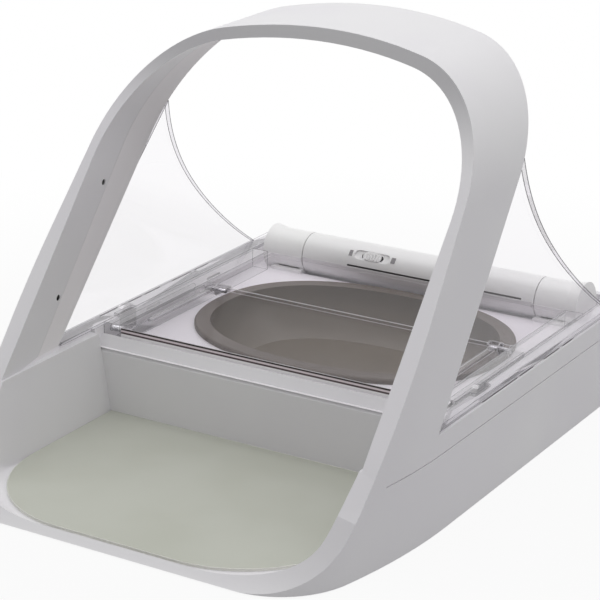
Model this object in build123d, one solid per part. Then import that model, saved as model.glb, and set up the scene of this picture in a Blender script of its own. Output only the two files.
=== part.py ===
from build123d import *
import os
from math import atan2, cos, degrees, pi, radians, sin, sqrt, tan

# Microchip pet feeder, in millimetres. X runs across, the mouth faces -Y and Z is up.
# The origin is the middle of the rectangle that the feeder stands on.

# overall size
body_width = 230.0
body_length = 322.0
hoop_height = 202.0
foot_height = 0.8
half = body_width / 2
front_y = -body_length / 2
back_y = body_length / 2
big = 400.0                # reach of the blocks that cut or keep a zone

# outer form of the case
side_lean = 4.4            # degrees that every outside wall leans in
side_straight_y = -55.0    # ahead of this the sides curve in
side_curve_radius = 300.0
front_bow = 4.3
front_corner_radius = 40.0
back_corner_radius = 30.0
crown_drop = 18.5          # fall of the crown from its middle to the leg line
crown_corner_radius = 60.0
case_top = 46.0            # top of the side rims
seam_height = 36.0         # outside joint of the two case mouldings
case_wall = 2.4
floor_thickness = 2.0
seam_groove = 0.5

# hoop, seen from the side
hoop_front_top_y = 26.7
hoop_front_slope = 0.839   # mm back for each mm up
toe_start_height = 30.0    # below this the front edge sweeps forward to the toe
hoop_rear_top_y = 85.5
hoop_rear_foot_y = -58.0
hoop_inner_half = half - 9.75   # inside half width at y = 0 and opening_low
hoop_inner_lean = 0.042
hoop_inner_top = hoop_height - 6.6
hoop_inner_rise = 17.0     # fall of the opening's arch from its middle to its shoulders
opening_low = 45.0
hoop_inner_radius = 58.0
hoop_flare = 2.86          # degrees that the inside opens out towards the back
liner_thickness = 1.3
liner_gap = 0.2
coil_depth = 1.0
coil_start = 7.0
coil_width = 11.0
liner_seam_lead = 27.3     # from the hoop's front edge back to the seam, at liner_seam_z
liner_seam_z = hoop_height - 81.0
liner_seam_slope = 0.828
eye_radius = 1.6
eye_depth = 3.4
eye_places = ((81.3, 4.5), (130.5, 3.1))   # below the hoop's top, ahead of the seam

# eating tray
tray_floor = 2.4
mat_thickness = 1.2
mat_gap = 0.3
tray_wall = 2.0
tray_back_top = 35.0
tray_wall_top = 44.0
tray_front_y = front_y + 8.4
tray_swell = 1.2           # how far the front wall stands ahead of the floor's edge
tray_step_front = -98.0    # ahead of this the wall top runs down to the case seam
tray_step_foot = -124.0
tray_sections = (
    (tray_floor, half - 22.7, 60.0),   # height, half width, radius of the front corners
    (6.5, half - 22.1, 38.0),
    (12.0, half - 21.4, 31.0),
    (28.0, half - 19.0, 29.0),
    (47.0, half - 16.1, 28.0),
)

# deck and well
deck_top = 37.0
deck_thickness = 2.2
well_half = half - 14.0
well_back_y = back_y - 8.5
rim_inner_wall = 1.8
rim_top_wall = 2.4

# bowl
bowl_half_x = 85.0
bowl_half_y = 63.0
bowl_squareness = 2.35
bowl_rim_top = 39.6
bowl_rim_width = 6.0
bowl_bottom = 12.6
bowl_wall = 2.0
bowl_hole_gap = 0.6

# lid
axis_y = back_y - 28.5
axis_z = 44.5
panel_length = 75.75       # axis to axis, the same for both panels
lid_opening = 58.0         # degrees that the rear panel turns up
rail_gap = 0.2             # between a rail and the wall of the well
rail_width = 9.8
rail_inner = well_half - rail_gap - rail_width
rail_outer = well_half - rail_gap
lid_half = rail_inner - 1.0
lid_thickness = 2.0
fold_gap = 0.15
lip_ahead = 3.2
lip_drop = 2.8
lip_thickness = 2.0
knuckle_radius = 3.0
knuckle_split = lid_half - 6.0
knuckle_inner = knuckle_split - 6.0
knuckle_gap = 0.2
hinge_pin_radius = 1.2
guide_pin_radius = 1.5
guide_pin_end = rail_inner + 6.0
guide_boss_radius = 2.8
run_gap = 0.05
bead_radius = 2.0          # rounded stiffener along each side of the front panel
bead_inset = 6.7
bead_front = 14.0          # from the guide pins back to the bead's front end
bead_back = 9.0            # from the bead's back end to the fold
mid_y = axis_y - panel_length
pin_y = mid_y - panel_length
bowl_y = mid_y - 0.25

# ledge ahead of the lid
ledge_crest = 41.8
ledge_back_y = pin_y - lip_ahead - 0.3
ledge_crest_y = ledge_back_y - 1.3
tray_back_y = ledge_back_y - 7.0

# guide rails
rail_front_y = pin_y - 2.8
rail_back_y = axis_y - 15.5
rail_top = 47.6
rail_slot_gap = 0.3
slot_travel = 2 * panel_length * (1 - cos(radians(lid_opening))) + 1.8
ear_radius = 7.0
ear_y = pin_y + 18.0
ear_width = 3.1
ear_gap = 0.1
ear_pocket = 3.4

# clear side guards behind the hoop
guard_thickness = 2.4
guard_inset = 0.7
guard_gap = 0.2            # between a guard and the back of the hoop's leg
guard_curve = ((49.5, 120.0), (68.5, 96.0), (91.5, 75.0), (111.0, 60.0))
guard_top = 150.0
guard_foot_y = 131.0
flange_thickness = 1.4
flange_outer = half - 5.4
flange_back_y = back_y - 6.0
flange_corner = 8.0
dash_width = 0.8
dash_depth = 1.2
dash_places = ((-13.0, 24.0), (26.0, 41.0), (52.0, 70.0), (73.0, 86.0))
window_places = ((15.8, 27.5), (71.7, 84.4))
window_low = 42.0
window_high = 43.4

# rear bar
bar_radius = 11.5
bar_lift = 1.3             # the bar's skin is centred this far above its axis
bar_end = lid_half - 1.0
bar_seam = bar_end - 18.0
collar_length = 6.5
collar_radius = 12.9
bar_slot = (-42.0, 63.6)   # ends of the long slot where the lid meets the bar
bar_slot_height = 1.0
bar_slot_depth = 1.4
bar_gap = 0.3
bar_wall = 1.8
trough_radius = 13.4
trough_wall = 1.6
shaft_radius = 3.0
switch_x = -28.0
switch_length = 22.0
switch_width = 5.6
slider_length = 11.0

# drive
driven_module = 0.8
driven_teeth = 20
pinion_teeth = 10
wheel_module = 0.5
wheel_teeth = 30
motor_teeth = 10
backlash = 0.25
drive_x = 7.5 - lid_half
axle_radius = 1.0
motor_radius = 7.0
motor_length = 18.0
motor_shaft_radius = 0.75
motor_boss_radius = 2.6

# batteries
cell_radius = 13.1
cell_length = 48.5         # without its nub
nub_radius = 4.0
nub_length = 1.4
cell_gap = 0.1
cell_z = 17.0
bay_outer_x = half - 4.4
bay_inner_x = bay_outer_x - 30.0
cell_x = (bay_outer_x + bay_inner_x) / 2
bay_wall = 1.5
bay_front_y = 1.0
bay_back_y = 112.0
bay_top = 32.4
contact_thickness = 0.5
contact_half = 7.0
spring_radius = 5.0
spring_wire = 0.5
spring_pitch = 2.2
cover_gap = 0.2
cover_thickness = 2.0
saddle_places = (18.0, 46.0, 70.0, 96.0)
saddle_top = 10.0

# screws, feet, boards and buttons
post_places = ((-62, back_y - 10.0), (62, back_y - 10.0), (-74, tray_back_y + 12.5), (74, tray_back_y + 12.5))
post_radius = 4.0
screw_radius = 1.5
foot_places = ((-75, front_y + 39.0), (75, front_y + 39.0), (15 - half, -32), (half - 15, -32),
               (17 - half, back_y - 23.0), (half - 17, back_y - 23.0))
foot_radius = 8.0
board_posts_x = (-42, 42)
board_posts_y = (back_y - 37.0, back_y - 13.0)
board_z = 12.0
board_thickness = 1.6
key_board_y = well_back_y - 4.5
button_x = 14.0
button_z = 24.0
button_radius = 4.5

lean = tan(radians(side_lean))
compound_z = axis_z - driven_module * (driven_teeth + pinion_teeth) / 2
motor_z = compound_z - wheel_module * (wheel_teeth + motor_teeth) / 2


def box(x0, x1, y0, y1, z0, z1):
    return Pos((x0 + x1) / 2, (y0 + y1) / 2, (z0 + z1) / 2) * Box(x1 - x0, y1 - y0, z1 - z0)


def rod(x0, x1, y, z, radius):
    return Pos((x0 + x1) / 2, y, z) * Rot(0, 90, 0) * Cylinder(radius, x1 - x0)


def upright(x, y, z0, z1, radius):
    return Pos(x, y, (z0 + z1) / 2) * Cylinder(radius, z1 - z0)


def along_y(x, y0, y1, z, radius):
    return Pos(x, (y0 + y1) / 2, z) * Rot(90, 0, 0) * Cylinder(radius, y1 - y0)


def on_side(side, near, far):
    """The two ends, in rising order, of a span that lies at near to far on one side."""
    return sorted((side * near, side * far))


def across(face, x0, x1):
    """A face drawn with local axes Y and Z, carried from x0 to x1."""
    return extrude(Plane.YZ.offset(x0) * face, x1 - x0)


def slab(points, x0, x1):
    return across(make_face(Polyline(*points, close=True)), x0, x1)


def plan_outline(inset=0.0):
    x_side = half - inset
    radius = side_curve_radius - inset
    y_front = front_y + inset
    y_corner = y_front + front_bow
    x_corner = x_side - radius + sqrt(radius**2 - (y_corner - side_straight_y) ** 2)
    y_back = back_y - inset
    angle = degrees(atan2(side_straight_y - y_corner, x_corner - x_side + radius))
    side = [
        Line((0, y_back), (x_side, y_back)),
        Line((x_side, y_back), (x_side, side_straight_y)),
        CenterArc((x_side - radius, side_straight_y), radius, 0, -angle),
    ]
    edges = side + [mirror(e, Plane.YZ) for e in side]
    edges.append(ThreePointArc((-x_corner, y_corner), (0, y_front), (x_corner, y_corner)))
    face = make_face(edges)
    corners = [v for v in face.vertices() if abs(v.X) > 5]
    face = fillet([v for v in corners if v.Y < y_corner + 1], front_corner_radius - inset)
    corners = [v for v in face.vertices() if abs(v.X) > x_side - 1 and v.Y > y_back - 1]
    face = fillet(corners, back_corner_radius - inset).face()
    return face if face.normal_at().Z > 0 else -face


def plan_block(inset=0.0, height=hoop_height + 6):
    top = plan_outline(inset + lean * height)
    return loft([plan_outline(inset), Pos(0, 0, height) * top], ruled=True)


def front_edge_y(z):
    return hoop_front_top_y - hoop_front_slope * (hoop_height - z)


def rear_edge_y(z):
    slope = (hoop_rear_top_y - hoop_rear_foot_y) / (hoop_height - case_top)
    return hoop_rear_foot_y + slope * (z - case_top)


def side_face(inset=0.0):
    """The feeder from the side: toe, hoop front, hoop rear and rim top."""
    top = hoop_height + 6
    steep = sqrt(1 + hoop_front_slope**2)
    start = (front_edge_y(toe_start_height) + inset * steep, toe_start_height)
    tangent = (-hoop_front_slope, -1)
    edges = [TangentArc(start, (front_y + inset * 3, 0), tangent=tangent)]
    edges.append(Polyline(
        start,
        (front_edge_y(top) + inset * steep, top),
        (rear_edge_y(top), top),
        (rear_edge_y(case_top), case_top),
        (back_y + 10, case_top),
        (back_y + 10, 0),
        (front_y + inset * 3, 0),
    ))
    return make_face(edges)


def crown_face(inset=0.0):
    """Legs and crown of the hoop from the front, drawn in X and Z."""
    leg_top = hoop_height - crown_drop
    x_low = half - inset
    x_top = half - inset - lean * leg_top
    edges = [
        Polyline((-x_top, leg_top), (-x_low, 0), (x_low, 0), (x_top, leg_top)),
        ThreePointArc((-x_top, leg_top), (0, hoop_height - inset), (x_top, leg_top)),
    ]
    face = make_face(edges)
    corners = [v for v in face.vertices() if v.Y > leg_top - 1]
    return fillet(corners, crown_corner_radius - inset)


def outer_form():
    form = plan_block() & across(side_face(), -half - 5, half + 5)
    crown = extrude(Plane.XZ.offset(-back_y - 20) * crown_face(), big)
    return form & crown & box(-big, big, -big, big, foot_height, big)


def hoop_opening(offset):
    """The opening through the hoop from the front, drawn in X and Z."""
    rise = hoop_inner_rise
    base = -60.0
    top = hoop_inner_top + offset
    x_low = hoop_inner_half + offset
    x_top = x_low - hoop_inner_lean * (top - opening_low)
    x_base = x_low + hoop_inner_lean * (opening_low - base)
    edges = [
        Polyline((-x_top, top - rise), (-x_base, base), (x_base, base), (x_top, top - rise)),
        ThreePointArc((-x_top, top - rise), (0, top), (x_top, top - rise)),
    ]
    face = make_face(edges)
    corners = [v for v in face.vertices() if v.Y > 0]
    return fillet(corners, hoop_inner_radius + offset)


def hoop_inner_tool(grow=0.0):
    """The opening carried from front to back, wider and higher towards the back."""
    ends = []
    for y in (-165.0, 115.0):
        opening = hoop_opening(grow + y * tan(radians(hoop_flare)))
        ends.append((Plane.XZ.offset(-y) * opening).face())
    return loft(ends, ruled=True)


def basin(grow=0.0, top=47.0):
    """The inside of the eating tray, or its outside when grown."""
    sections = []
    for z, x_side, radius in tray_sections:
        x_side += grow
        radius += grow
        y0 = tray_front_y - grow
        if z > tray_sections[0][0]:
            y0 -= tray_swell
        y1 = tray_back_y + grow
        height = z - grow if z == tray_sections[0][0] else z
        outline = [
            Line((x_side, y1), (x_side, y0 + radius)),
            CenterArc((x_side - radius, y0 + radius), radius, 0, -90),
            Line((x_side - radius, y0), (-x_side + radius, y0)),
            CenterArc((-x_side + radius, y0 + radius), radius, 270, -90),
            Line((-x_side, y0 + radius), (-x_side, y1)),
            Line((-x_side, y1), (x_side, y1)),
        ]
        sections.append(Pos(0, 0, height) * make_face(outline))
    return loft(sections)


def basin_floor():
    z, x_side, radius = tray_sections[0]
    outline = Rectangle(2 * x_side, tray_back_y - tray_front_y)
    corners = [v for v in outline.vertices() if v.Y < 0]
    face = fillet(corners, radius)
    return Pos(0, (tray_back_y + tray_front_y) / 2, z) * face


def seam_y(z):
    return front_edge_y(liner_seam_z) + liner_seam_lead + liner_seam_slope * (z - liner_seam_z)


def seam_plane_cut(offset, side):
    """Everything behind (side 1) or ahead of (side -1) the liner seam."""
    y_low = seam_y(0) + offset
    y_high = seam_y(big) + offset
    far = big * 2 * side
    return slab([(y_low, 0), (y_high, big), (y_high + far, big), (y_low + far, 0)], -half, half)


def superellipse(half_x, half_y, z):
    power = 2 / bowl_squareness
    points = []
    for step in range(24):
        angle = 2 * pi * (step + 0.5) / 24
        c = cos(angle)
        s = sin(angle)
        x = half_x * abs(c) ** power * (1 if c > 0 else -1)
        y = half_y * abs(s) ** power * (1 if s > 0 else -1)
        points.append((x, y))
    return Pos(0, bowl_y, z) * make_face(Spline(*points, periodic=True))


def gear(teeth, module, x0, x1, bore, turn=0.0):
    tip = module * teeth / 2 + module
    root = module * teeth / 2 - 1.2 * module
    pitch = 360 / teeth
    slack = degrees(backlash / (module * teeth / 2)) / 2
    wide = pitch / 2 - slack
    shape = Circle(root)
    tooth = []
    for radius, share in ((root - 0.2, 1.25), (module * teeth / 2, 1.0), (tip, 0.45)):
        tooth.append((radius, wide * share / 2))
    right = [(r * cos(radians(a)), r * sin(radians(a))) for r, a in tooth]
    left = [(x, -y) for x, y in reversed(right)]
    blade = make_face(Polyline(*right, *left, close=True))
    for k in range(teeth):
        shape += Rot(0, 0, turn + k * pitch) * blade
    if bore:
        shape -= Circle(bore)
    return across(shape, x0, x1)


def make_cases():
    form = outer_form()
    lower_zone = box(-big, big, -big, big, 0, seam_height)
    upper_zone = box(-big, big, -big, big, seam_height, big)
    inner = plan_block(case_wall, case_top)
    inner = inner & across(side_face(case_wall), -half, half)
    tray_out = basin(tray_wall)
    tray_in = basin()
    hollow = inner & box(-big, big, -big, big, foot_height + floor_thickness, seam_height)
    hollow = hollow - tray_out

    # lower case
    lower = (form & lower_zone) - hollow
    wall = (tray_out & form) & box(-big, big, -big, tray_back_y, seam_height - 1, tray_wall_top)
    ramp = [(-60, 60), (-big, 60), (-big, 10), (tray_step_foot, 10), (tray_step_front, tray_wall_top)]
    ramp.append((-60, tray_wall_top))
    wall = wall - slab(ramp, -half, half)
    lower = lower + wall
    lower = lower - tray_in
    back_wall_top = box(-well_half - 1, well_half + 1, tray_back_y, tray_back_y + tray_wall + 1,
                        tray_back_top, 60)
    lower = lower - back_wall_top

    # upper case
    upper = form & upper_zone
    tool = hoop_inner_tool()
    upper = upper - (tool & box(-big, big, -big, big, case_top, big))
    ahead = box(-big, big, -big, tray_back_y, tray_wall_top, case_top)
    upper = upper - (tool & ahead)
    tray_cut = tray_out & box(-big, big, -big, tray_back_y, seam_height - 1, tray_wall_top)
    tray_cut = tray_cut - slab(ramp, -half, half)
    upper = upper - tray_cut
    upper = upper - (tray_in & box(-big, big, -big, tray_back_y, 0, tray_wall_top))
    well = box(-well_half, well_half, tray_back_y, well_back_y, deck_top, 60)
    upper = upper - well
    pocket_x = well_half + rim_inner_wall
    under = inner & box(-big, big, tray_back_y + 4, back_y, seam_height - 1, case_top - rim_top_wall)
    under = under - box(-pocket_x, pocket_x, -100, well_back_y + rim_inner_wall, 0, 60)
    upper = upper - under
    below_deck = box(-pocket_x, pocket_x, tray_back_y - 1, well_back_y + 2, 0, deck_top - 0.001)
    upper = upper - below_deck
    deck = box(-pocket_x, pocket_x, ledge_back_y - 3, well_back_y + rim_inner_wall,
               deck_top - deck_thickness, deck_top)
    ledge = slab([
        (tray_back_y, tray_back_top),
        (ledge_crest_y, ledge_crest),
        (ledge_back_y, ledge_crest),
        (ledge_back_y, deck_top - deck_thickness),
        (tray_back_y + tray_wall + 0.6, deck_top - deck_thickness),
        (tray_back_y + tray_wall, tray_back_top),
    ], -well_half - 0.5, well_half + 0.5)
    corner_wall = plan_block(0, seam_height) - plan_block(case_wall, seam_height)
    deck = deck - (corner_wall & box(-big, big, 100, big, 0, seam_height))
    upper = upper + deck + ledge
    for x in (-1, 1):
        skirt = box(*sorted((x * pocket_x, x * well_half)), tray_back_y + 0.5,
                    well_back_y + rim_inner_wall, seam_height, deck_top)
        upper = upper + skirt
    return form, lower, upper, tool


def add_bays_and_posts(lower, upper):
    """Battery bays, screw posts, seats for the feet and holes for the buttons."""
    for side in (-1, 1):
        xs = on_side(side, bay_inner_x, bay_outer_x)
        bay = box(*xs, bay_front_y, bay_back_y, foot_height, bay_top)
        room = on_side(side, bay_inner_x + bay_wall, bay_outer_x - bay_wall)
        inside = box(*room, bay_front_y + bay_wall, bay_back_y - bay_wall, -1, bay_top - bay_wall)
        lower = lower + bay - inside
    for x, y in post_places:
        lower = lower + upright(x, y, foot_height, 28.0, post_radius)
        lower = lower - upright(x, y, 0, 22.0, 2 * screw_radius) - upright(x, y, 0, 30.0, screw_radius + 0.1)
        upper = upper + upright(x, y, 28.0, deck_top - 1, post_radius)
        upper = upper - upright(x, y, 20, 34.5, screw_radius)
    for x, y in foot_places:
        lower = lower - upright(x, y, 0, foot_height + 0.8, foot_radius)
    for x in board_posts_x:
        for y in board_posts_y:
            lower = lower + upright(x, y, foot_height + 1, board_z, 2.5)
    for x in (-button_x, button_x):
        hole = Pos(x, back_y - 4, button_z) * Rot(90, 0, 0) * Cylinder(button_radius + 0.15, 12)
        lower = lower - hole
    return lower, upper


def cut_deck(upper):
    """Trough for the bar, windows for the drive and the hole for the bowl."""
    trough_end = bar_seam + 2 * bar_gap
    trough = rod(-trough_end - trough_wall, trough_end + trough_wall, axis_y, axis_z,
                 trough_radius + trough_wall)
    upper = upper + (trough & box(-big, big, 0, big, 0, deck_top))
    upper = upper - rod(-trough_end, trough_end, axis_y, axis_z, trough_radius)
    for side in (-1, 1):
        xs = on_side(side, bar_end - 14.0, bar_end + 0.5)
        upper = upper - box(*xs, axis_y - 11, axis_y + 11, 30, 40)
    edge = bowl_rim_width - bowl_hole_gap
    hole = superellipse(bowl_half_x - edge, bowl_half_y - edge, 20)
    return upper - extrude(hole, 30)


def fit_hoop(form, upper, tool):
    """Room in the hoop for its liner, its coil and its sensors."""
    above = box(-big, big, -big, big, case_top, big)
    liner_outer = hoop_inner_tool(liner_thickness)
    upper = upper - (liner_outer & seam_plane_cut(0.0, 1) & above)
    liner = (liner_outer - tool) & seam_plane_cut(liner_gap, 1) & form & above
    coil_zone = seam_plane_cut(coil_start, 1) & seam_plane_cut(coil_start + coil_width, -1)
    coil_zone = coil_zone & box(-big, big, -big, big, case_top + 3, big)
    coil_outer = hoop_inner_tool(liner_thickness + coil_depth)
    coil = (coil_outer - liner_outer) & coil_zone
    upper = upper - coil
    eyes = []
    for drop, ahead in eye_places:
        z = hoop_height - drop
        y = seam_y(z) - ahead
        x = hoop_inner_half + y * tan(radians(hoop_flare)) - hoop_inner_lean * (z - opening_low)
        for side in (-1, 1):
            upper = upper - rod(*on_side(side, x - 3, x + eye_depth), y, z, eye_radius)
            eyes.append((side, rod(*on_side(side, x + 0.2, x + eye_depth), y, z, eye_radius)))
    return upper, liner, coil, eyes


def finish_rims(form, upper):
    """Pockets for the rail clips, windows and narrow slots for the side guards, the seam."""
    for side in (-1, 1):
        xs = on_side(side, well_half - 1, well_half + ear_pocket)
        reach = ear_radius + 0.3
        upper = upper - box(*xs, ear_y - reach, ear_y + reach, deck_top, 60)
        xs = on_side(side, well_half + ear_pocket, well_half + ear_pocket + rim_inner_wall)
        back = box(*xs, ear_y - ear_radius - 2, ear_y + ear_radius + 2, seam_height, case_top)
        upper = upper + (back & form)
        xs = on_side(side, well_half - 1, well_half + rim_inner_wall)
        for y0, y1 in window_places:
            upper = upper - box(*xs, y0, y1, window_low, window_high)
        xs = on_side(side, flange_outer + 0.1, flange_outer + 0.1 + dash_width)
        for y0, y1 in dash_places:
            upper = upper - box(*xs, y0, y1, case_top - dash_depth, case_top + 1)
    ring = plan_block(-1.0, 60) - plan_block(seam_groove, 60)
    return upper - (ring & box(-big, big, -100.0, big, seam_height, seam_height + seam_groove))


def make_bowl():
    rim = extrude(superellipse(bowl_half_x, bowl_half_y, deck_top), bowl_rim_top - deck_top)
    top_edges = rim.edges().group_by(Axis.Z)[-1]
    rim = fillet(top_edges, 1.1)
    edge = bowl_rim_width
    levels = ((bowl_rim_top, 0.0), (24.0, 4.5), (bowl_bottom, 15.0))
    outer = []
    inner = []
    for z, step in levels:
        a = bowl_half_x - edge - step
        b = bowl_half_y - edge - step
        outer.append(superellipse(a, b, min(z, deck_top + 1)))
        z_in = z + bowl_wall if z == bowl_bottom else z
        inner.append(superellipse(a - bowl_wall, b - bowl_wall, z_in))
    inset = bowl_rim_width + bowl_wall
    inner[0] = superellipse(bowl_half_x - inset, bowl_half_y - inset, bowl_rim_top + 0.01)
    cup = loft([f.face() for f in outer])
    space = loft([f.face() for f in inner])
    return rim + cup - space


def bar_shell(x0, x1):
    return rod(x0, x1, axis_y, axis_z + bar_lift, bar_radius)


def knuckle(x0, x1, y):
    return rod(x0, x1, y, axis_z, knuckle_radius)


def make_lid():
    top = axis_z + lid_thickness
    front_end = pin_y - lip_ahead
    rear = box(-lid_half, lid_half, mid_y + fold_gap, axis_y - 3, axis_z, top)
    front = box(-lid_half, lid_half, front_end, mid_y - fold_gap, axis_z, top)
    front = front + box(-lid_half, lid_half, front_end, front_end + lip_thickness, axis_z - lip_drop, top)
    clear = knuckle_radius + 0.4
    for side in (-1, 1):
        inner = on_side(side, knuckle_inner - knuckle_gap, knuckle_split + knuckle_gap)
        outer = on_side(side, knuckle_split, lid_half + 1)
        rear = rear - box(*inner, mid_y - 1, mid_y + clear, axis_z - 5, axis_z + 5)
        front = front - box(*outer, mid_y - clear, mid_y + 1, axis_z - 5, axis_z + 5)
        own = on_side(side, knuckle_split + knuckle_gap, lid_half)
        rear = rear + knuckle(*own, mid_y) + box(*own, mid_y, mid_y + 4, axis_z, top)
        own = on_side(side, knuckle_inner, knuckle_split)
        front = front + knuckle(*own, mid_y) + box(*own, mid_y - 4, mid_y, axis_z, top)
        front = front + rod(*on_side(side, knuckle_split, lid_half), pin_y, axis_z, guide_boss_radius)
        bead_length = panel_length - bead_front - bead_back
        bead = Cylinder(bead_radius, bead_length) + Pos(0, 0, -bead_length / 2) * Sphere(bead_radius)
        bead_y = pin_y + bead_front + bead_length / 2
        bead = Pos(side * (lid_half - bead_inset), bead_y, top) * Rot(-90, 0, 0) * bead
        front = front + (bead & box(-big, big, -big, big, axis_z, big))
        pin = on_side(side, knuckle_inner + 0.5, lid_half)
        rear = rear - rod(*pin, mid_y, axis_z, hinge_pin_radius)
        front = front - rod(*pin, mid_y, axis_z, hinge_pin_radius + run_gap)
        front = front - rod(*on_side(side, knuckle_split + 1, guide_pin_end), pin_y, axis_z, guide_pin_radius)
        corner = on_side(side, bar_seam - 2 * bar_gap, lid_half + 1)
        rear = rear - box(*corner, axis_y - 13.6, axis_y + 1, axis_z - 5, axis_z + 5)
    rear = rear - bar_shell(-bar_seam, bar_seam)
    return front, rear


def make_bar():
    core_end = bar_seam - 2.5
    boss_end = bar_seam - 14.0
    middle = bar_shell(-bar_seam + bar_gap, bar_seam - bar_gap)
    core = rod(-core_end, core_end, axis_y, axis_z + bar_lift, bar_radius - bar_wall)
    underside = box(-core_end, core_end, axis_y - 3, axis_y + 7, 20, axis_z)
    middle = middle - core - underside
    slot_z = axis_z + lid_thickness + 0.3
    slot_y = axis_y - bar_radius
    middle = middle - box(*bar_slot, slot_y - 1, slot_y + bar_slot_depth, slot_z, slot_z + bar_slot_height)
    ends = []
    for side in (-1, 1):
        middle = middle + rod(*on_side(side, core_end, boss_end), axis_y, axis_z, shaft_radius + 1.8)
        middle = middle - rod(*on_side(side, bar_seam, boss_end), axis_y, axis_z, shaft_radius)
        shell = bar_shell(*on_side(side, bar_seam + bar_gap, bar_end))
        start = Plane(origin=(side * bar_end, axis_y, axis_z + bar_lift), z_dir=(side, 0, 0))
        collar = loft([start * Circle(bar_radius), start.offset(collar_length) * Circle(collar_radius)])
        shell = (shell + collar) & box(-big, big, -big, big, deck_top, big)
        foot = on_side(side, bar_seam + bar_gap, bar_end + 1.2)
        shell = shell + box(*foot, axis_y - 13, axis_y + 13, deck_top, deck_top + 1.6)
        inside = on_side(side, bar_seam + 3, bar_end - 1.6)
        shell = shell - rod(*inside, axis_y, axis_z + bar_lift, bar_radius - 1.5)
        shell = shell - box(*inside, axis_y - 9.5, axis_y + 9.5, deck_top - 1, axis_z + 1)
        bore = on_side(side, bar_seam - 11, bar_end - 4)
        shell = shell - rod(*bore, axis_y, axis_z, shaft_radius + run_gap)
        ends.append(shell)
    return middle, ends


def make_switch(middle):
    tilt = 48.0
    face_out = Pos(switch_x, axis_y, axis_z + bar_lift) * Rot(tilt, 0, 0)
    pocket = SlotOverall(switch_length, switch_width)
    pocket = face_out * Pos(0, 0, bar_radius - 1.0) * extrude(pocket, 3)
    middle = middle - pocket
    plate = extrude(SlotOverall(slider_length, switch_width - 0.6), 0.9)
    plate = face_out * Pos(0, 0, bar_radius - 1.0) * plate
    stem = face_out * Pos(0, 0, bar_radius - 3.2) * extrude(SlotOverall(6.0, 3.0), 2.3)
    way = face_out * Pos(0, 0, bar_radius - 3.4) * extrude(SlotOverall(6.0 + 7.4, 3.2), 3)
    middle = middle - way
    ribs = []
    for k in range(-2, 3):
        ribs.append(face_out * Pos(k * 1.7, 0, bar_radius + 0.1) * Box(0.7, switch_width - 1.6, 0.8))
    slider = plate + stem
    for rib in ribs:
        slider = slider + rib
    return middle, slider


def make_rail(side):
    rail = box(*on_side(side, rail_inner, rail_outer), rail_front_y, rail_back_y, deck_top, rail_top)
    reach = guide_pin_radius + rail_slot_gap
    xs = on_side(side, rail_inner - 1, guide_pin_end + 0.8)
    slot = box(*xs, pin_y, pin_y + slot_travel, axis_z - reach, axis_z + reach)
    for y in (pin_y, pin_y + slot_travel):
        slot = slot + rod(*xs, y, axis_z, reach)
    return rail - slot


def make_clip(side):
    xs = on_side(side, well_half + ear_gap, well_half + ear_gap + ear_width)
    disc = rod(*xs, ear_y, deck_top + ear_radius, ear_radius)
    foot = box(*xs, ear_y - ear_radius, ear_y + ear_radius, deck_top, deck_top + ear_radius)
    return disc + foot


def make_guard(side):
    """A clear wing that runs from the back of the hoop's leg down to a flange on the rim."""
    low = case_top + flange_thickness / 2
    start_y = rear_edge_y(low) + guard_gap
    top_y = rear_edge_y(guard_top) + 2 * guard_gap
    edges = [Spline((top_y, guard_top), *guard_curve, (guard_foot_y, low))]
    edges.append(Polyline((guard_foot_y, low), (start_y, low), (top_y, guard_top)))
    shell = plan_block(guard_inset) - plan_block(guard_inset + guard_thickness)
    wing = shell & across(make_face(edges), *on_side(side, 0, half))
    flange = box(*on_side(side, well_half + ear_gap, flange_outer), rear_edge_y(case_top) + guard_gap,
                 flange_back_y, case_top, case_top + flange_thickness)
    corners = flange.edges().filter_by(Axis.Z).group_by(Axis.Y)[-1]
    flange = fillet(corners.sort_by(Axis.X)[0 if side < 0 else -1], flange_corner)
    reach = ear_radius + 0.3
    notch = box(*on_side(side, well_half - 1, well_half + ear_pocket), ear_y - reach, ear_y + reach, 0, 60)
    leg = [(rear_edge_y(z) + guard_gap, z) for z in (0, hoop_height)]
    leg += [(front_y, hoop_height), (front_y, 0)]
    return wing + flange - notch - slab(leg, -half, half)


def make_drive():
    x = drive_x
    driven = Pos(0, axis_y, axis_z) * gear(driven_teeth, driven_module, x, x + 4, shaft_radius, 9)
    pinion = gear(pinion_teeth, driven_module, x - 1, x + 5, 0, 18)
    wheel = gear(wheel_teeth, wheel_module, x - 4, x - 1, 0, 0)
    compound = pinion + wheel - across(Circle(axle_radius + run_gap), x - 10, x + 10)
    motor_pinion = gear(motor_teeth, wheel_module, x - 4.2, x - 0.8, 0, 18)
    motor_pinion = motor_pinion + across(Circle(motor_shaft_radius), x - 16, x - 4)
    plate_out = x - 6.8
    plate_in = x + 7.4
    plate = 1.8
    bottom = foot_height + 2
    sides = (axis_y - 9.5, axis_y + 9.5)
    frame = box(plate_out, plate_out + plate, *sides, bottom, 36.4)
    frame = frame + box(plate_in - plate, plate_in, *sides, bottom, 36.4)
    frame = frame + box(plate_out, plate_in, *sides, bottom, bottom + 2)
    frame = frame - rod(x - 8, x + 8, axis_y, compound_z, axle_radius)
    frame = frame - rod(x - 8, x, axis_y, motor_z, motor_boss_radius)
    motor = rod(plate_out - motor_length, plate_out, axis_y, motor_z, motor_radius)
    motor = motor + rod(plate_out, plate_out + 1.4, axis_y, motor_z, motor_boss_radius)
    motor = motor - rod(x - 16.2, x - 5, axis_y, motor_z, motor_shaft_radius + run_gap)
    return {
        "driven_gear": driven,
        "compound_gear": Pos(0, axis_y, compound_z) * compound,
        "motor_pinion": Pos(0, axis_y, motor_z) * motor_pinion,
        "gear_axle": rod(plate_out, plate_in, axis_y, compound_z, axle_radius),
        "gearbox_frame": frame,
        "motor": motor,
    }


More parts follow.
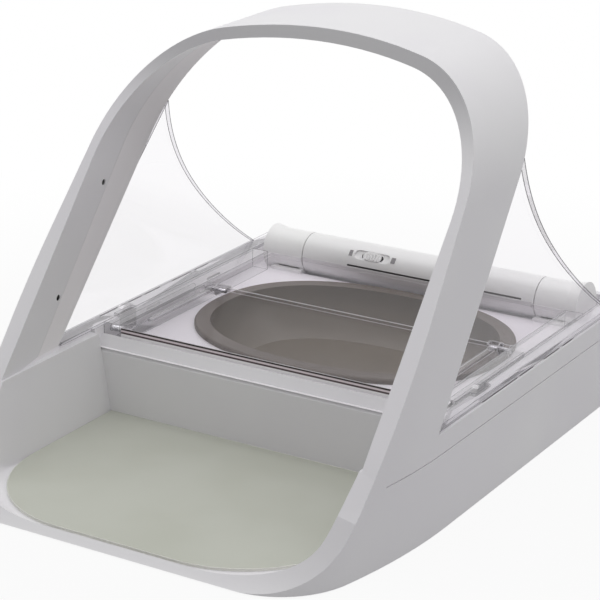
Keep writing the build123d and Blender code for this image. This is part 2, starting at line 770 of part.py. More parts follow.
def make_shafts():
    start = bar_seam - 13.5
    left = rod(-bar_end + 3.0, -start, axis_y, axis_z, shaft_radius)
    right = rod(start, bar_end - 4.0, axis_y, axis_z, shaft_radius)
    return left, right


def make_battery_cover(side):
    room = on_side(side, bay_inner_x + bay_wall + cover_gap, bay_outer_x - bay_wall - cover_gap)
    y0 = bay_front_y + bay_wall + cover_gap
    y1 = bay_back_y - bay_wall - cover_gap
    cover = box(*room, y0, y1, foot_height, foot_height + cover_thickness)
    for y in saddle_places:
        cover = cover + box(*room, y - 1, y + 1, foot_height + cover_thickness, saddle_top)
    drum = Pos(side * cell_x, (y0 + y1) / 2, cell_z) * Rot(90, 0, 0) * Cylinder(cell_radius, y1 - y0 + 10)
    return cover - drum


def make_cells_and_contacts(side):
    """Two cells end to end, a plate behind them, and a plate with a spring ahead of them."""
    turned = Rot(-90, 0, 0)
    back = bay_back_y - bay_wall - cover_gap
    front = bay_front_y + bay_wall + cover_gap
    cells = []
    end = back - contact_thickness
    for number in range(2):
        start = end - nub_length - cell_length
        can = turned * Cylinder(cell_radius, cell_length)
        can = Pos(side * cell_x, start + cell_length / 2, cell_z) * can
        nub = Pos(side * cell_x, end - nub_length / 2, cell_z) * turned * Cylinder(nub_radius, nub_length)
        cells.append(can + nub)
        end = start - cell_gap
    plates = []
    xs = (side * cell_x - contact_half, side * cell_x + contact_half)
    for y in (back - contact_thickness, front):
        plates.append(box(*xs, y, y + contact_thickness, cell_z - contact_half, cell_z + contact_half))
    spring_start = front + contact_thickness + spring_wire - 0.2
    length = end + cell_gap - spring_wire - spring_start
    path = Helix(spring_pitch, length, spring_radius)
    wire = sweep(Plane(path @ 0, z_dir=path % 0) * Circle(spring_wire), path, is_frenet=True)
    plates.append(Pos(side * cell_x, spring_start, cell_z) * turned * wire)
    return cells, plates


def make_board():
    top = board_z + board_thickness
    board = box(-48, 48, back_y - 41.0, well_back_y - 1.5, board_z, top)
    parts = []
    for x, y, w, d, h in ((-30, 31, 10, 10, 1.8), (0, 33, 14, 9, 2.2), (26, 28, 8, 8, 1.5)):
        middle = back_y - y
        parts.append(box(x - w / 2, x + w / 2, middle - d / 2, middle + d / 2, top, top + h))
    key_board = box(-24, 24, key_board_y, key_board_y + 1.4, top, 32)
    for x in (-button_x, button_x):
        key = box(x - 3, x + 3, key_board_y + 1.4, key_board_y + 4.4, button_z - 3, button_z + 3)
        key_board = key_board + key
    return board, parts, key_board


def make_button(x):
    wall_in = back_y - lean * button_z - case_wall
    stem_start = key_board_y + 5.2
    cap = along_y(x, wall_in - 1.2, back_y, button_z, button_radius)
    flange = along_y(x, wall_in - 2.0, wall_in - 0.8, button_z, button_radius + 1.4)
    stem = along_y(x, stem_start, wall_in - 1, button_z, 1.5)
    return cap + flange + stem


def make_screws():
    screws = []
    for x, y in post_places:
        screws.append(upright(x, y, 21.6, 34.0, screw_radius) + upright(x, y, 20.0, 22.0, 2.7))
    return screws


def make_feet():
    return [upright(x, y, 0, foot_height + 0.8, foot_radius - 0.1) for x, y in foot_places]


def save(name, shape):
    if isinstance(shape, list):
        solids = [s for piece in shape for s in piece.solids()]
        shape = Compound(children=solids)
    shape.label = name
    export_step(shape, "parts/" + name + ".step")
    print(name, "valid" if shape.is_valid else "NOT VALID", len(shape.solids()), flush=True)


if __name__ == "__main__":
    os.makedirs("parts", exist_ok=True)
    form, lower, upper, tool = make_cases()
    lower, upper = add_bays_and_posts(lower, upper)
    upper = cut_deck(upper)
    upper, liner, coil, eyes = fit_hoop(form, upper, tool)
    upper = finish_rims(form, upper)
    front, rear = make_lid()
    middle, ends = make_bar()
    middle, slider = make_switch(middle)
    left_shaft, right_shaft = make_shafts()
    board, board_parts, key_board = make_board()
    left_cells, left_contacts = make_cells_and_contacts(-1)
    right_cells, right_contacts = make_cells_and_contacts(1)
    nodes = {
        "lower_case": lower,
        "upper_case": upper,
        "hoop_liner": liner,
        "antenna_coil": coil,
        "beam_emitters": [eye for side, eye in eyes if side < 0],
        "beam_receivers": [eye for side, eye in eyes if side > 0],
        "tray_mat": extrude(offset(basin_floor(), -mat_gap), mat_thickness),
        "bowl": make_bowl(),
        "lid_front_panel": front,
        "lid_rear_panel": rear,
        "lid_bar": middle - rear,
        "lock_slider": slider,
        "bar_end_left": ends[0],
        "bar_end_right": ends[1],
        "drive_shaft": left_shaft,
        "stub_shaft": right_shaft,
        "battery_cells": left_cells + right_cells,
        "battery_contacts": left_contacts + right_contacts,
        "circuit_board": board,
        "board_parts": board_parts,
        "button_board": key_board,
        "case_screws": make_screws(),
        "rubber_feet": make_feet(),
    }
    for side, word in ((-1, "left"), (1, "right")):
        nodes["rail_" + word] = make_rail(side)
        nodes["rail_clip_" + word] = make_clip(side)
        nodes["side_guard_" + word] = make_guard(side)
        nodes["battery_cover_" + word] = make_battery_cover(side)
        nodes["button_" + word] = make_button(side * button_x)
        pin = on_side(side, knuckle_inner + 0.5, lid_half)
        nodes["hinge_pin_" + word] = rod(*pin, mid_y, axis_z, hinge_pin_radius)
        pin = on_side(side, knuckle_split + 1, guide_pin_end)
        nodes["guide_pin_" + word] = rod(*pin, pin_y, axis_z, guide_pin_radius)
    nodes.update(make_drive())
    for name, shape in nodes.items():
        save(name, shape)
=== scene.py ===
import math

import bmesh
import bpy
from mathutils import Matrix, Vector


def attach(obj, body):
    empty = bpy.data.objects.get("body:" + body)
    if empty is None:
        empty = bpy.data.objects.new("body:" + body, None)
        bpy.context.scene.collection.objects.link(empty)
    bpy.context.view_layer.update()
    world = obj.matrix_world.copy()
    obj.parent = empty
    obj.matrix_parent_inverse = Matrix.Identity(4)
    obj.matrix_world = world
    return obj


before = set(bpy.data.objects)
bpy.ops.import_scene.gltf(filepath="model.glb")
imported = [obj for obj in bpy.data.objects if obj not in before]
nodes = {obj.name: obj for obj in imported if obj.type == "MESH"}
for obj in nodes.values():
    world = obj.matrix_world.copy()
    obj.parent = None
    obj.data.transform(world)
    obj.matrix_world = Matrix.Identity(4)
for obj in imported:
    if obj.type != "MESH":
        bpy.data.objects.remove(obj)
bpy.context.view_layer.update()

print("frame loaded:", len(nodes), "nodes")


# a Wire holds one socket of a shader's tree, so that sockets can be used in sums
class Wire:
    def __init__(self, tree, socket=None):
        self.tree = tree
        self.socket = socket

    def node(self, kind, settings=None, inputs=None, output=0):
        made = self.tree.nodes.new(kind)
        for name, value in (settings or {}).items():
            if name == "stops":
                while len(made.color_ramp.elements) < len(value):
                    made.color_ramp.elements.new(0.5)
                for element, (place, tone) in zip(made.color_ramp.elements, value):
                    element.position = place
                    element.color = (*tone, 1.0)
            else:
                setattr(made, name, value)
        self.feedAll(made, inputs or {})
        return Wire(self.tree, made.outputs[output])

    def feed(self, target, value):
        if isinstance(value, Wire):
            self.tree.links.new(value.socket, target)
        elif hasattr(value, "__len__") and len(value) == 3 and len(target.default_value) == 4:
            target.default_value = (*value, 1.0)
        else:
            target.default_value = value

    def feedAll(self, owner, inputs):
        for name, value in inputs.items():
            self.feed(owner.inputs[name], value)

    def maths(self, operation, first, second=0.0, clamp=False):
        settings = {"operation": operation, "use_clamp": clamp}
        return self.node("ShaderNodeMath", settings, {0: first, 1: second})

    def __add__(self, other):
        return self.maths("ADD", self, other)

    def __radd__(self, other):
        return self.maths("ADD", other, self)

    def __sub__(self, other):
        return self.maths("SUBTRACT", self, other)

    def __rsub__(self, other):
        return self.maths("SUBTRACT", other, self)

    def __mul__(self, other):
        return self.maths("MULTIPLY", self, other)

    def __rmul__(self, other):
        return self.maths("MULTIPLY", other, self)

    def clamped(self):
        return self.maths("ADD", self, 0.0, clamp=True)

    def spread(self, width):
        # a noise, which varies about one half, as a change of up to half the width each way
        return (self - 0.5) * width

    def steps(self, low, high, first=0.0, last=1.0):
        settings = {"interpolation_type": "SMOOTHSTEP"}
        ends = {"Value": self, "From Min": low, "From Max": high, "To Min": first, "To Max": last}
        return self.node("ShaderNodeMapRange", settings, ends)

    def height(self):
        # z of a place
        return self.node("ShaderNodeSeparateXYZ", None, {0: self}, output="Z")


def newMaterial(name):
    made = bpy.data.materials.new(name)
    made.use_nodes = True
    shader = made.node_tree.nodes["Principled BSDF"]
    wire = Wire(made.node_tree)
    place = wire.node("ShaderNodeTexCoord", output="Object")
    return made, shader, wire, place


def noise(wire, place, scale, detail):
    inputs = {"Vector": place, "Scale": scale, "Detail": detail}
    return wire.node("ShaderNodeTexNoise", None, inputs)


def mixColour(wire, share, first, second):
    # a Mix node's inputs 6 and 7 are its two colours, and its output 2 is the mixed one
    inputs = {0: share, 6: first, 7: second}
    return wire.node("ShaderNodeMix", {"data_type": "RGBA"}, inputs, output=2)


def mixSurface(wire, share, first, second):
    mixed = wire.node("ShaderNodeMixShader", None, {0: share, 1: first, 2: second})
    wire.feed(wire.tree.nodes["Material Output"].inputs["Surface"], mixed)


def shade(value):
    # a display colour such as 0xdfe1e0, as the linear colour that shaders take
    parts = [(value >> 16 & 255) / 255, (value >> 8 & 255) / 255, (value & 255) / 255]
    return tuple(p / 12.92 if p <= 0.04045 else ((p + 0.055) / 1.055) ** 2.4 for p in parts)


casePlastic = {
    "colour": shade(0xE9E8EA), "shadeColour": shade(0xE5E3E7), "cloudScale": 9.0,
    "roughness": 0.42, "roughSpread": 0.07, "grainScale": 2600.0, "grainDepth": 0.00002,
    "specular": 0.45,
}
matRubber = {
    "colour": shade(0xC3C5BB), "shadeColour": shade(0xBEC0B5), "cloudScale": 14.0,
    "roughness": 0.62, "roughSpread": 0.08, "grainScale": 1800.0, "grainDepth": 0.00003,
    "specular": 0.3,
}
bowlPlastic = {
    "colour": shade(0x665D4E), "shadeColour": shade(0x62594A), "cloudScale": 20.0,
    "roughness": 0.42, "roughSpread": 0.06, "grainScale": 260.0, "grainDepth": 0.000001,
    "specular": 0.5,
}
# where the front rim rolls under, at the crown and at the toe:
# two heights in metres, and how far the surface leans down at each of them
rimRolls = ((0.150, 0.190, 0.0, 0.55), (0.004, 0.056, 0.42, 0.0))
mouldedLooks = {
    "casePlastic": casePlastic,
    "rimPlastic": dict(casePlastic, rolls=rimRolls),
    # a paler copy of the case plastic, painted light for the deck and the inner walls of the
    # wells, where shade falls under the hoop and the rails
    "paintedLightPlastic": dict(casePlastic, colour=shade(0xFCFAFD), shadeColour=shade(0xF8F5F9)),
    "linerPlastic": dict(casePlastic, colour=shade(0xF4F1F3), shadeColour=shade(0xEFECEF),
                         roughness=0.48),
    "barPlastic": dict(casePlastic, colour=shade(0xFBFBFA), shadeColour=shade(0xF7F6F7),
                       roughness=0.34),
    "gearPlastic": dict(casePlastic, colour=shade(0xDAD8CF), shadeColour=shade(0xCFCCC2),
                        roughness=0.5),
    "matRubber": matRubber,
    # the mat's sides, a paler copy of the rubber: a painted highlight
    "matSideHighlight": dict(matRubber, colour=shade(0xEDEDE6), shadeColour=shade(0xE6E6DE)),
    "bowlPlastic": bowlPlastic,
    "bowlRim": dict(bowlPlastic, colour=shade(0x554B40), shadeColour=shade(0x52483D),
                    roughness=0.5),
}
mouldedGrain = {
    "cloudDetail": 3.0, "grainDetail": 2.0, "cloudEnds": (0.35, 0.65),
    "grainRough": 0.05, "bumpStrength": 0.6,
}


def mouldedPlastic(name, look):
    made, shader, wire, place = newMaterial(name)
    cloud = noise(wire, place, look["cloudScale"], mouldedGrain["cloudDetail"])
    grain = noise(wire, place, look["grainScale"], mouldedGrain["grainDetail"])
    tone = cloud.steps(*mouldedGrain["cloudEnds"])
    bump = wire.node("ShaderNodeBump", None, {"Height": grain, "Distance": look["grainDepth"],
                                              "Strength": mouldedGrain["bumpStrength"]})
    if "rolls" in look:
        crown, toe = [place.height().steps(low, high, -first, -last)
                      for low, high, first, last in look["rolls"]]
        lean = wire.node("ShaderNodeCombineXYZ", None, {"Z": crown + toe})
        leaned = wire.node("ShaderNodeVectorMath", {"operation": "ADD"}, {0: bump, 1: lean})
        bump = wire.node("ShaderNodeVectorMath", {"operation": "NORMALIZE"}, {0: leaned})
    wire.feedAll(shader, {
        "Base Color": mixColour(wire, tone, look["colour"], look["shadeColour"]),
        "Roughness": look["roughness"] + cloud.spread(look["roughSpread"])
                     + grain.spread(mouldedGrain["grainRough"]),
        "Normal": bump,
        "Specular IOR Level": look["specular"],
    })
    return made


clearLook = {
    "tint": (0.988, 0.984, 0.990), "surface": (0.93, 0.92, 0.95), "mirror": 0.85,
    "roughness": 0.06, "scuffScale": 60.0, "scuffDetail": 4.0, "scuffRough": 0.03,
    # how much of the surface shows: straight on, what is added at a grazing angle, and the blend
    "facing": 0.018, "grazing": 0.42, "blend": 0.2,
}
railLook = dict(clearLook, tint=(0.994, 0.993, 0.995), surface=(0.99, 0.985, 0.99),
                facing=0.08, grazing=0.10)
# cut edges of the clear mouldings, greyer and less clear: painted shade for the dark lines that
# refraction draws along them
edgeShadeLook = dict(clearLook, tint=(0.90, 0.89, 0.91), facing=0.30, grazing=0.40)
clearLooks = {
    "clearPlastic": clearLook,
    "lidPlastic": dict(clearLook, tint=(0.982, 0.975, 0.984), facing=0.02, grazing=0.22),
    "railPlastic": railLook,
    "clipPlastic": dict(railLook, facing=0.22),
    # flat tops of the rails, clips, flanges and beads, which mirror the pale room
    "clearTop": dict(clearLook, surface=(0.99, 0.985, 0.995), mirror=0.9, roughness=0.10,
                     facing=0.12, grazing=0.80),
    "clearEdgeShade": edgeShadeLook,
    "beadShade": dict(edgeShadeLook, surface=(0.42, 0.40, 0.43), mirror=0.2),
}


def clearPlastic(name, look):
    made, shader, wire, place = newMaterial(name)
    scuff = noise(wire, place, look["scuffScale"], look["scuffDetail"])
    wire.feedAll(shader, {
        "Base Color": look["surface"], "Metallic": look["mirror"],
        "Roughness": look["roughness"] + scuff * look["scuffRough"],
    })
    behind = wire.node("ShaderNodeBsdfTransparent", None, {"Color": look["tint"]})
    edge = wire.node("ShaderNodeLayerWeight", None, {"Blend": look["blend"]}, output="Facing")
    share = look["facing"] + edge * edge * look["grazing"]
    mixSurface(wire, share.clamped(), behind, Wire(wire.tree, shader.outputs[0]))
    return made


lineLooks = {
    "greyShadeLine": {"colour": shade(0x7D7A80), "cover": 0.62},
    "softShadeLine": {"colour": shade(0xA9A6AC), "cover": 0.55},
    "paleHighlightLine": {"colour": shade(0xF4F1F4), "cover": 0.85},
    "matHighlightLine": {"colour": shade(0xEFEFE8), "cover": 0.7},
}
lineFleck = {
    "scale": 120.0, "detail": 2.0, "ends": (0.30, 0.62), "roughness": 0.3,
    "thinnest": 0.88,        # of the cover, where the line is faintest
}


def lineFinish(name, look):
    # the fine lines along the corners of a moulding, a little see-through and uneven: painted
    # shade in the grey and soft lines and painted highlight in the pale and mat lines, for the
    # dark and bright lines that refraction and reflection draw along the corners
    made, shader, wire, place = newMaterial(name)
    fleck = noise(wire, place, lineFleck["scale"], lineFleck["detail"])
    wire.feedAll(shader, {"Base Color": look["colour"], "Roughness": lineFleck["roughness"]})
    behind = wire.node("ShaderNodeBsdfTransparent", None, {"Color": (1.0, 1.0, 1.0)})
    share = fleck.steps(*lineFleck["ends"], look["cover"] * lineFleck["thinnest"], look["cover"])
    mixSurface(wire, share, behind, Wire(wire.tree, shader.outputs[0]))
    return made


lipLooks = {
    "paintedLipBands": {
        # heights up the lid's front lip, in metres, with the colour of each band: painted
        # highlights and painted shade, for the bright and dark lines that the clear lip shows
        "bands": ((0.0416, 0xF2EFF2), (0.0434, 0xFBF9FB), (0.0436, 0x53454A), (0.0443, 0x53454A),
                  (0.0446, 0xE9DDE2), (0.0453, 0xE9DDE2), (0.0456, 0x33282B), (0.0466, 0x33282B)),
        "roughness": 0.2,
    },
}


def bandedLip(name, look):
    made, shader, wire, place = newMaterial(name)
    bottom = look["bands"][0][0]
    top = look["bands"][-1][0]
    share = (place.height() - bottom) * (1.0 / (top - bottom))
    stops = [((z - bottom) / (top - bottom), shade(tone)) for z, tone in look["bands"]]
    ramp = wire.node("ShaderNodeValToRGB", {"stops": stops}, {"Fac": share})
    wire.feedAll(shader, {"Base Color": ramp, "Roughness": look["roughness"]})
    return made


metalLooks = {
    "brightSteel": {"colour": (0.62, 0.62, 0.64), "roughness": 0.28},
    "copperFoil": {"colour": (0.86, 0.50, 0.33), "roughness": 0.35},
    "cellWrap": {"colour": (0.50, 0.50, 0.52), "roughness": 0.4},
}
metalGrain = {"scale": 900.0, "detail": 2.0, "roughSpread": 0.15}


def metal(name, look):
    made, shader, wire, place = newMaterial(name)
    grain = noise(wire, place, metalGrain["scale"], metalGrain["detail"])
    rough = look["roughness"] + grain.spread(metalGrain["roughSpread"])
    wire.feedAll(shader, {"Base Color": look["colour"], "Metallic": 1.0, "Roughness": rough})
    return made


darkLooks = {
    "boardGreen": {"colour": (0.02, 0.12, 0.05), "roughness": 0.5},
    "chipBlack": {"colour": (0.02, 0.02, 0.02), "roughness": 0.45},
    "sensorBlack": {"colour": (0.012, 0.010, 0.012), "roughness": 0.25},
    "footRubber": {"colour": (0.05, 0.05, 0.05), "roughness": 0.75},
    "slotShade": {"colour": (0.11, 0.10, 0.105), "roughness": 0.6},
    "switchMark": {"colour": shade(0x8F8C8F), "roughness": 0.5},
}
darkGrain = {
    "scale": 1500.0, "detail": 2.0, "ends": (0.3, 0.7), "roughSpread": 0.1,
    "times": 1.15, "plus": 0.004,        # the lighter specks, from the colour
}


def darkPlastic(name, look):
    made, shader, wire, place = newMaterial(name)
    grain = noise(wire, place, darkGrain["scale"], darkGrain["detail"])
    tone = grain.steps(*darkGrain["ends"])
    lighter = tuple(min(1.0, c * darkGrain["times"] + darkGrain["plus"]) for c in look["colour"])
    wire.feedAll(shader, {
        "Base Color": mixColour(wire, tone, look["colour"], lighter),
        "Roughness": look["roughness"] + grain.spread(darkGrain["roughSpread"]),
    })
    return made


finishes = {}
for make, looks in ((mouldedPlastic, mouldedLooks), (clearPlastic, clearLooks),
                    (lineFinish, lineLooks), (bandedLip, lipLooks), (metal, metalLooks),
                    (darkPlastic, darkLooks)):
    for name, look in looks.items():
        finishes[name] = make(name, look)
print("materials:", len(finishes))


nodeFinish = {
    "casePlastic": ("lower_case", "upper_case", "battery_cover_left", "battery_cover_right"),
    "linerPlastic": ("hoop_liner",),
    "barPlastic": ("lid_bar", "bar_end_left", "bar_end_right", "lock_slider",
                   "button_left", "button_right"),
    "gearPlastic": ("driven_gear", "compound_gear", "motor_pinion", "gearbox_frame"),
    "matRubber": ("tray_mat",),
    "bowlPlastic": ("bowl",),
    "clearPlastic": ("side_guard_left", "side_guard_right"),
    "railPlastic": ("rail_left", "rail_right"),
    "clipPlastic": ("rail_clip_left", "rail_clip_right"),
    "lidPlastic": ("lid_front_panel", "lid_rear_panel"),
    "brightSteel": ("case_screws", "hinge_pin_left", "hinge_pin_right", "guide_pin_left",
                    "guide_pin_right", "gear_axle", "motor", "drive_shaft", "stub_shaft",
                    "battery_contacts"),
    "copperFoil": ("antenna_coil",),
    "boardGreen": ("circuit_board", "button_board"),
    "chipBlack": ("board_parts",),
    "sensorBlack": ("beam_emitters", "beam_receivers"),
    "footRubber": ("rubber_feet",),
    "cellWrap": ("battery_cells",),
}
for finish, members in nodeFinish.items():
    for member in members:
        slots = nodes[member].data.materials
        slots.clear()
        slots.append(finishes[finish])


def paintFaces(node, finish, chosen):
    # a second finish for the faces that chosen picks by their centre and normal
    mesh = nodes[node].data
    mesh.materials.append(finishes[finish])
    count = 0
    for face in mesh.polygons:
        if chosen(face.center, face.normal):
            face.material_index = len(mesh.materials) - 1
            count += 1
    print("painted", node, finish, count)


def inside(value, ends):
    return ends[0] < value < ends[1]


# places are in metres; up, side and front are limits on a face's normal
# the cut edges of the side guards take the painted shade of the clear edges
guardEdge = {"lowest": 0.0478, "side": 0.5}
for node in ("side_guard_left", "side_guard_right"):
    paintFaces(node, "clearEdgeShade",
               lambda c, n: abs(n.x) < guardEdge["side"] and c.z > guardEdge["lowest"])

frontRim = {"front": -0.2, "up": 0.2, "side": 0.25,
            "rearmost": 0.04, "toe": -0.12, "overTray": 0.044}
for node in ("upper_case", "lower_case"):
    paintFaces(node, "rimPlastic",
               lambda c, n: c.y < frontRim["rearmost"] and n.y < frontRim["front"]
               and n.z > frontRim["up"] and abs(n.x) < frontRim["side"]
               and (c.y < frontRim["toe"] or c.z > frontRim["overTray"]))

# the front faces of the lid's lip take the bands of painted highlight and painted shade
paintedLipBands = {"rearmost": -0.0221, "front": -0.9}
paintFaces("lid_front_panel", "paintedLipBands",
           lambda c, n: n.y < paintedLipBands["front"] and c.y < paintedLipBands["rearmost"])

# the inner walls of the wells under the rails take painted light
wellWall = {"across": (0.1005, 0.1035), "heights": (0.0372, 0.0459), "side": 0.8}
paintFaces("upper_case", "paintedLightPlastic",
           lambda c, n: abs(n.x) > wellWall["side"] and inside(abs(c.x), wellWall["across"])
           and inside(c.z, wellWall["heights"]))

beads = {"across": (0.0810, 0.0856), "along": (-0.0072, 0.0480), "lowest": 0.04655, "up": 0.55}


def onBead(c):
    return (c.z > beads["lowest"] and inside(abs(c.x), beads["across"])
            and inside(c.y, beads["along"]))


paintFaces("lid_front_panel", "clearTop", lambda c, n: onBead(c) and n.z > beads["up"])
paintFaces("lid_front_panel", "beadShade", lambda c, n: onBead(c) and n.z <= beads["up"])

bowlRim = {"lowest": 0.0371, "middle": 0.0565, "up": 0.3}
paintFaces("bowl", "bowlRim",
           lambda c, n: c.z > bowlRim["lowest"]
           and (n.z > bowlRim["up"] or n.x * c.x + n.y * (c.y - bowlRim["middle"]) > 0.0))

# the mat's sides take the paler rubber, a painted highlight
matSide = {"up": 0.5}
paintFaces("tray_mat", "matSideHighlight", lambda c, n: abs(n.z) < matSide["up"])

barSlot = {"heights": (0.0467, 0.0479), "depths": (0.1214, 0.1232), "halfLength": 0.064}
paintFaces("lid_bar", "slotShade",
           lambda c, n: inside(c.z, barSlot["heights"]) and inside(c.y, barSlot["depths"])
           and abs(c.x) < barSlot["halfLength"])

flatTops = {"highest": 0.052, "up": 0.9}
for node in ("rail_left", "rail_right", "side_guard_left", "side_guard_right",
             "rail_clip_left", "rail_clip_right"):
    paintFaces(node, "clearTop", lambda c, n: n.z > flatTops["up"] and c.z < flatTops["highest"])

# the flat top of the deck takes painted light
deckTop = {"height": 0.037, "within": 0.0006, "up": 0.9}
paintFaces("upper_case", "paintedLightPlastic",
           lambda c, n: n.z > deckTop["up"] and abs(c.z - deckTop["height"]) < deckTop["within"])

rimDashes = {"heights": (0.0446, 0.0461), "across": (0.1094, 0.1106), "along": (-0.014, 0.087),
             "side": 0.9, "bottom": 0.0450}
paintFaces("upper_case", "slotShade",
           lambda c, n: inside(c.z, rimDashes["heights"])
           and inside(abs(c.x), rimDashes["across"]) and inside(c.y, rimDashes["along"])
           and (abs(n.x) > rimDashes["side"] or c.z < rimDashes["bottom"]))
print("faces painted")


def addObject(name, data):
    obj = bpy.data.objects.new(name, data)
    bpy.context.scene.collection.objects.link(obj)
    return obj


def addMesh(name, bm, finish):
    data = bpy.data.meshes.new(name)
    bm.to_mesh(data)
    bm.free()
    data.materials.append(finish)
    return addObject(name, data)


# rods of painted shade along the corners of the guards, flanges and rails, and of painted
# highlight along the lid's edges and the mat's top edge
cornerLines = {
    # name: (node, body, radius in metres, finish, lowest and highest of the lines)
    "guardLeftEdge": ("side_guard_left", "base", 0.00018, "greyShadeLine", 0.0478, 1.0),
    "guardRightEdge": ("side_guard_right", "base", 0.00022, "greyShadeLine", 0.0478, 1.0),
    "flangeLeftEdge": ("side_guard_left", "base", 0.00012, "softShadeLine", 0.0, 0.0478),
    "flangeRightEdge": ("side_guard_right", "base", 0.00012, "softShadeLine", 0.0, 0.0478),
    "railLeftEdge": ("rail_left", "base", 0.00013, "softShadeLine", 0.0, 1.0),
    "railRightEdge": ("rail_right", "base", 0.00013, "softShadeLine", 0.0, 1.0),
    "lidFrontEdge": ("lid_front_panel", "lid_front", 0.00014, "paleHighlightLine", 0.0455, 1.0),
    "lidRearEdge": ("lid_rear_panel", "lid_rear", 0.00016, "paleHighlightLine", 0.0, 1.0),
    "matTopEdge": ("tray_mat", "mat", 0.00028, "matHighlightLine", 0.0034, 1.0),
}
cornerRods = {"sharp": math.radians(38.0), "merge": 1e-6, "shortest": 1e-5, "sides": 5}


def drawCorners(name, node, body, radius, finish, lowest, highest):
    # thin rods along the sharp corners of a moulding, to carry the painted shade and highlight
    # lines
    source = bmesh.new()
    source.from_mesh(nodes[node].data)
    bmesh.ops.remove_doubles(source, verts=source.verts, dist=cornerRods["merge"])
    rods = bmesh.new()
    for edge in source.edges:
        if len(edge.link_faces) != 2 or edge.calc_face_angle(0.0) < cornerRods["sharp"]:
            continue
        start, end = edge.verts[0].co, edge.verts[1].co
        along = end - start
        height = (start.z + end.z) / 2
        if not lowest < height < highest or along.length < cornerRods["shortest"]:
            continue
        turn = along.to_track_quat("Z", "Y").to_matrix().to_4x4()
        placing = Matrix.Translation((start + end) / 2) @ turn
        bmesh.ops.create_cone(rods, cap_ends=True, segments=cornerRods["sides"], radius1=radius,
                              radius2=radius, depth=along.length, matrix=placing)
    source.free()
    obj = addMesh(name, rods, finishes[finish])
    "mat_rubber" if node == "tray_mat" else "clear_plastic"
    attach(obj, body)
    return len(obj.data.polygons)


for name, settings in cornerLines.items():
    print("corner lines", name, drawCorners(name, *settings))


switchMarks = {
    # plain marks beside the switch: middle x, length across the bar, width along it, in metres
    "marks": ((-0.0412, 0.0034, 0.0020), (-0.0148, 0.0034, 0.0026)),
    "axis": (0.1325, 0.0458), "radius": 0.01155, "tilt": math.radians(48.0),
    "height": 0.0001, "bevel": 0.00003,
}


def makeMarks(look):
    bm = bmesh.new()
    y, z = look["axis"]
    out = Vector((0.0, -math.sin(look["tilt"]), math.cos(look["tilt"])))
    for x, tall, wide in look["marks"]:
        middle = Vector((x, y, z)) + out * look["radius"]
        placing = Matrix.Translation(middle) @ Matrix.Rotation(look["tilt"], 4, "X")
        size = Matrix.Diagonal((wide, tall, look["height"], 1.0))
        made = bmesh.ops.create_cube(bm, size=1.0, matrix=placing @ size)
        edges = list({e for v in made["verts"] for e in v.link_edges})
        bmesh.ops.bevel(bm, geom=edges, offset=look["bevel"], segments=1, profile=0.5,
                        affect="EDGES", material=-1)
    obj = addMesh("switchMarks", bm, finishes["switchMark"])
    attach(obj, "lid_rear")


makeMarks(switchMarks)
print("switch marks made")


camera = {
    "azimuth": 31.76, "elevation": 19.75, "distance": 1.085, "target": (-0.0007, 0.0055, 0.0699),
    "lens": 132.38, "sensor": 36.0, "nearest": 0.05, "farthest": 60.0,
}
lamps = {
    "topLight": {
        "place": (-0.20, 0.20, 2.20), "aim": (0.0, 0.0, 0.05), "size": 3.0, "watts": 36.0},
    "rightLight": {
        "place": (1.40, 0.40, 1.40), "aim": (0.0, 0.0, 0.10), "size": 1.2, "watts": 4.0},
    "frontLight": {
        "place": (-0.90, -1.60, 1.10), "aim": (0.0, 0.0, 0.05), "size": 1.4, "watts": 0.5},
}
studio = {
    "worldLevel": 0.33,        # how strongly the white world lights the object
    "floorSize": 12.0, "floorColour": (0.58, 0.58, 0.58), "roughness": 0.9, "specular": 0.1,
    # the share of plain white in the floor that is seen, near the object and from farReach on
    "floorNear": 0.92, "nearReach": 0.18, "farReach": 0.5,
}


def lookFrom(obj, place, target):
    obj.location = place
    back = (Vector(place) - Vector(target)).normalized()
    obj.rotation_mode = "QUATERNION"
    obj.rotation_quaternion = (-back).to_track_quat("-Z", "Y")


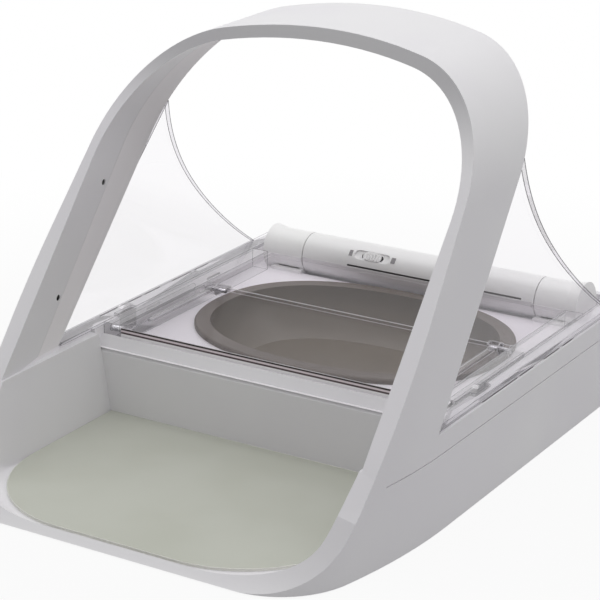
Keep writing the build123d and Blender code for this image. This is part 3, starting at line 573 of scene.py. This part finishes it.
def makeCamera(view):
    data = bpy.data.cameras.new("photoCamera")
    data.lens = view["lens"]
    data.sensor_width = view["sensor"]
    data.clip_start = view["nearest"]
    data.clip_end = view["farthest"]
    obj = addObject("photoCamera", data)
    turn = math.radians(view["azimuth"])
    lift = math.radians(view["elevation"])
    level = math.cos(lift)
    back = Vector((math.sin(turn) * level, -math.cos(turn) * level, math.sin(lift)))
    lookFrom(obj, Vector(view["target"]) + back * view["distance"], view["target"])
    bpy.context.scene.camera = obj


def makeLamp(name, lamp):
    data = bpy.data.lights.new(name, "AREA")
    data.energy = lamp["watts"]
    data.size = lamp["size"]
    lookFrom(addObject(name, data), lamp["place"], lamp["aim"])


def seenDirectly(wire):
    # 1 for the camera, mirrors and clear plastic, 0 for light that falls on the object
    seen, mirrored, through = [
        wire.node("ShaderNodeLightPath", output=ray)
        for ray in ("Is Camera Ray", "Is Glossy Ray", "Is Transmission Ray")]
    return (seen + mirrored + through).clamped()


def makeWorld(look):
    world = bpy.data.worlds.new("studioWorld")
    bpy.context.scene.world = world
    world.use_nodes = True
    wire = Wire(world.node_tree)
    level = seenDirectly(wire) * (1.0 - look["worldLevel"]) + look["worldLevel"]
    background = world.node_tree.nodes["Background"]
    wire.feedAll(background, {"Color": (1.0, 1.0, 1.0), "Strength": level})


def floorFinish(look):
    made, shader, wire, place = newMaterial("studioFloor")
    wire.feedAll(shader, {"Base Color": look["floorColour"], "Roughness": look["roughness"],
                          "Specular IOR Level": look["specular"]})
    white = wire.node("ShaderNodeEmission", None, {"Color": (1.0, 1.0, 1.0), "Strength": 1.0})
    reach = wire.node("ShaderNodeVectorMath", {"operation": "LENGTH"}, {0: place}, output="Value")
    share = reach.steps(look["nearReach"], look["farReach"], look["floorNear"], 1.0)
    mixSurface(wire, seenDirectly(wire) * share, Wire(wire.tree, shader.outputs[0]), white)
    return made


def makeFloor(look):
    bm = bmesh.new()
    bmesh.ops.create_grid(bm, x_segments=1, y_segments=1, size=look["floorSize"] / 2)
    obj = addMesh("studioFloor", bm, floorFinish(look))


makeCamera(camera)
for name, lamp in lamps.items():
    makeLamp(name, lamp)
makeWorld(studio)
makeFloor(studio)
bpy.context.scene.view_settings.view_transform = "Standard"
print("studio ready")
